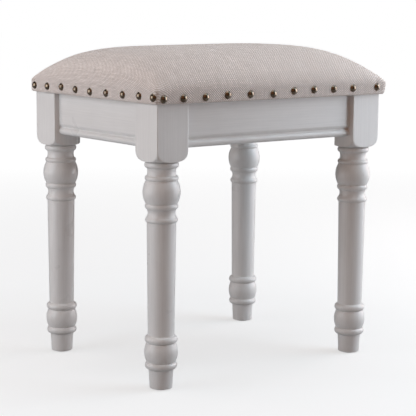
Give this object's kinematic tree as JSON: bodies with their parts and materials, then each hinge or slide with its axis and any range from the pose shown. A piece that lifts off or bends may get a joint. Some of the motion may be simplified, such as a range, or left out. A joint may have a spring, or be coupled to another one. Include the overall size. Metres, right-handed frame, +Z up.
{
  "type": "upholstered dressing stool",
  "caption": "Low backless dressing stool: turned legs, beaded aprons and a domed linen seat edged with nailheads.",
  "frame": {"origin": "on the floor under the middle of the stool", "axes": "+X along the long side, towards the right as seen from the front; the front faces -Y; +Z up"},
  "size_m": [0.4176, 0.3266, 0.455],
  "materials": {
    "painted_wood": "satin",
    "bare_wood": "matte",
    "plywood": "matte",
    "zinc_steel": "satin",
    "antique_bronze": "satin",
    "linen": "matte",
    "wadding": "matte",
    "foam": "matte",
    "black_cambric": "matte",
    "nylon": "matte"
  },
  "bodies": {
    "root": {"leg_front_left": "painted_wood", "leg_front_right": "painted_wood", "leg_rear_left": "painted_wood", "leg_rear_right": "painted_wood", "apron_front": "painted_wood", "apron_rear": "painted_wood", "apron_left": "painted_wood", "apron_right": "painted_wood", "brace_front_left": "bare_wood", "brace_front_right": "bare_wood", "brace_rear_left": "bare_wood", "brace_rear_right": "bare_wood", "hanger_bolts": "zinc_steel", "bolt_washers": "zinc_steel", "bolt_nuts": "zinc_steel", "brace_screws": "zinc_steel", "seat_screws": "zinc_steel", "seat_board": "plywood", "foam_pad": "foam", "wadding": "wadding", "linen_cover": "linen", "linen_staples": "zinc_steel", "dust_cover": "black_cambric", "dust_cover_staples": "zinc_steel", "nails_front": "antique_bronze", "nails_rear": "antique_bronze", "nails_left": "antique_bronze", "nails_right": "antique_bronze", "glide_front_left": "nylon", "glide_front_right": "nylon", "glide_rear_left": "nylon", "glide_rear_right": "nylon"}
  },
  "joints": []
}
